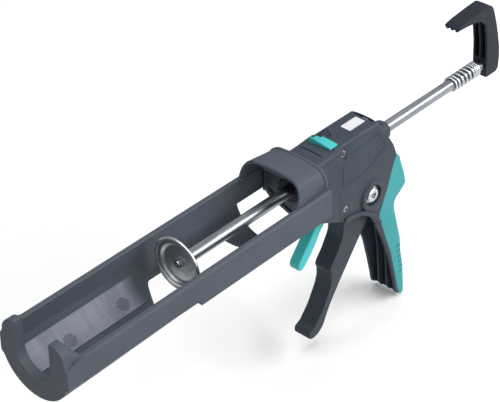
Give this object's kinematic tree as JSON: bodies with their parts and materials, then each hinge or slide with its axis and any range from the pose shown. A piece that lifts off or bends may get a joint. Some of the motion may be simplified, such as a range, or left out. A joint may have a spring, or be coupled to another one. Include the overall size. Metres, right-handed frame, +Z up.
{
  "type": "caulking gun",
  "caption": "Hand caulking gun with an open cartridge cradle, friction-drive trigger, release lever, flow slider and sliding push rod with pull hook.",
  "frame": {"origin": "centre of the whole gun's box with the rod as in the picture", "axes": "+X along the push rod towards the pull hook, +Z up from handle to hood, -Y the gun's left side"},
  "size_m": [0.514, 0.0652, 0.229],
  "materials": {
    "grey_plastic": "moulded, fine grain",
    "dark_plastic": "moulded, fine grain",
    "teal_plastic": "smooth satin",
    "teal_rubber": "soft touch, matte",
    "zinc": "bright zinc plate",
    "zinc_rod": "drawn, zinc plated",
    "plain_steel": "plain",
    "spring_steel": "zinc plated wire",
    "label_film": "blank film"
  },
  "bodies": {
    "frame": {"cradle": "grey_plastic", "shell_left": "grey_plastic", "shell_right": "grey_plastic", "grip_cover": "teal_rubber", "upper_screw": "zinc", "upper_screw_nut": "zinc", "lower_screw": "zinc", "lower_screw_nut": "zinc", "trigger_bolt": "zinc", "trigger_bolt_nut": "zinc", "lever_pin": "plain_steel", "drive_spring": "spring_steel", "brake_spring": "spring_steel", "rear_clip": "zinc", "label": "label_film", "front_bush": "dark_plastic", "rear_bush": "dark_plastic"},
    "trigger": {"trigger": "grey_plastic", "trigger_bush": "plain_steel", "thrust_roller": "plain_steel"},
    "drive": {"clamp_plate_back": "plain_steel", "clamp_plate_front": "plain_steel"},
    "brake": {"brake_plate": "plain_steel"},
    "lever": {"release_lever": "teal_plastic"},
    "slider": {"flow_slider": "teal_plastic"},
    "rod": {"push_rod": "zinc_rod", "pressure_disc": "zinc", "disc_nut": "zinc", "disc_washer": "zinc", "buffer_spring": "spring_steel", "pull_hook": "dark_plastic", "hook_pin": "plain_steel"}
  },
  "joints": [
    {"name": "rod_slide", "type": "slide", "parent": "frame", "child": "rod", "axis": [1, 0, 0], "range_m": [-0.083, 0.1112]},
    {"name": "trigger_pull", "type": "hinge", "parent": "frame", "child": "trigger", "pos_m": [0.0795, 0, 0.01605], "axis": [0, -1, 0], "range_deg": [0, 34], "stiffness_Nm_per_rad": 0.6, "springref_deg": -28.65},
    {"name": "clamp_stroke", "type": "slide", "parent": "frame", "child": "drive", "axis": [-1, 0, 0], "range_m": [0, 0.0134], "deforming": ["drive_spring"]},
    {"name": "lever_press", "type": "hinge", "parent": "frame", "child": "lever", "pos_m": [0.035, 0, 0.02205], "axis": [0, -1, 0], "range_deg": [0, 13], "stiffness_Nm_per_rad": 0.3, "springref_deg": -28.65},
    {"name": "brake_tilt", "type": "hinge", "parent": "frame", "child": "brake", "pos_m": [0.024, 0, 0.06905], "axis": [0, 1, 0], "range_deg": [0, 6], "deforming": ["brake_spring"]},
    {"name": "flow_slide", "type": "slide", "parent": "frame", "child": "slider", "axis": [1, 0, 0], "range_m": [0, 0.007]}
  ],
  "couplings": [
    {"joint": "clamp_stroke", "follows": "trigger_pull", "m_per_rad": 0.02204},
    {"joint": "brake_tilt", "follows": "lever_press", "ratio": 0.42}
  ]
}
